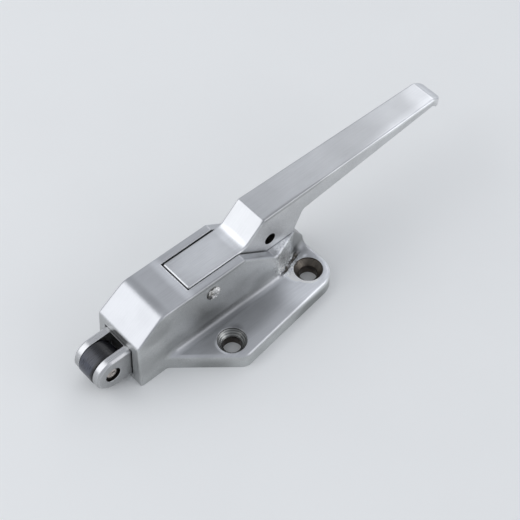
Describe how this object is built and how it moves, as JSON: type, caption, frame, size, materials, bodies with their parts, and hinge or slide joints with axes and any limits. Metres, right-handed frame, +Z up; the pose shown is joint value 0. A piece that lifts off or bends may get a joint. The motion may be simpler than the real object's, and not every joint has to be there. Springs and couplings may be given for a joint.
{
  "type": "handle latch",
  "caption": "Cast handle latch with a side mounting flange: lifting the long lever draws back a spring-loaded tongue that carries a roller.",
  "frame": {"origin": "on the mounting face, midway between the side walls, straight below the axis of the handle pin", "axes": "+X towards the tip of the lever (the roller is at -X), -Y towards the mounting flange, +Z up from the mounting face"},
  "size_m": [0.2317, 0.0587, 0.0506],
  "materials": {
    "cast_steel": "satin, ground and brushed stainless casting",
    "sheet_steel": "mill-finish stainless sheet",
    "pin_steel": "turned stainless",
    "spring_steel": "drawn spring wire",
    "roller_polymer": "black moulded polymer with a soft sheen",
    "bush_bronze": "sintered bronze"
  },
  "bodies": {
    "frame": {"housing": "cast_steel", "base_plate": "sheet_steel", "base_plate_screws": "pin_steel", "handle_pin": "pin_steel", "spring_guide": "pin_steel", "tongue_spring": "spring_steel"},
    "handle": {"handle": "cast_steel"},
    "tongue": {"tongue": "cast_steel", "roller_axle": "pin_steel"},
    "roller": {"roller": "roller_polymer", "roller_bush": "bush_bronze"}
  },
  "joints": [
    {"name": "handle_lift", "type": "hinge", "parent": "frame", "child": "handle", "pos_m": [0, 0, 0.0318], "axis": [0, -1, 0], "range_deg": [0, 30]},
    {"name": "tongue_slide", "type": "slide", "parent": "frame", "child": "tongue", "axis": [1, 0, 0], "range_m": [0, 0.00932], "stiffness_N_per_m": 2000, "springref_m": -0.006, "deforming": ["tongue_spring"]},
    {"name": "roller_spin", "type": "hinge", "parent": "tongue", "child": "roller", "pos_m": [-0.0588, 0, 0.0132], "axis": [0, 1, 0], "continuous": true}
  ],
  "couplings": [
    {"joint": "tongue_slide", "follows": "handle_lift", "m_per_rad": 0.01779}
  ]
}
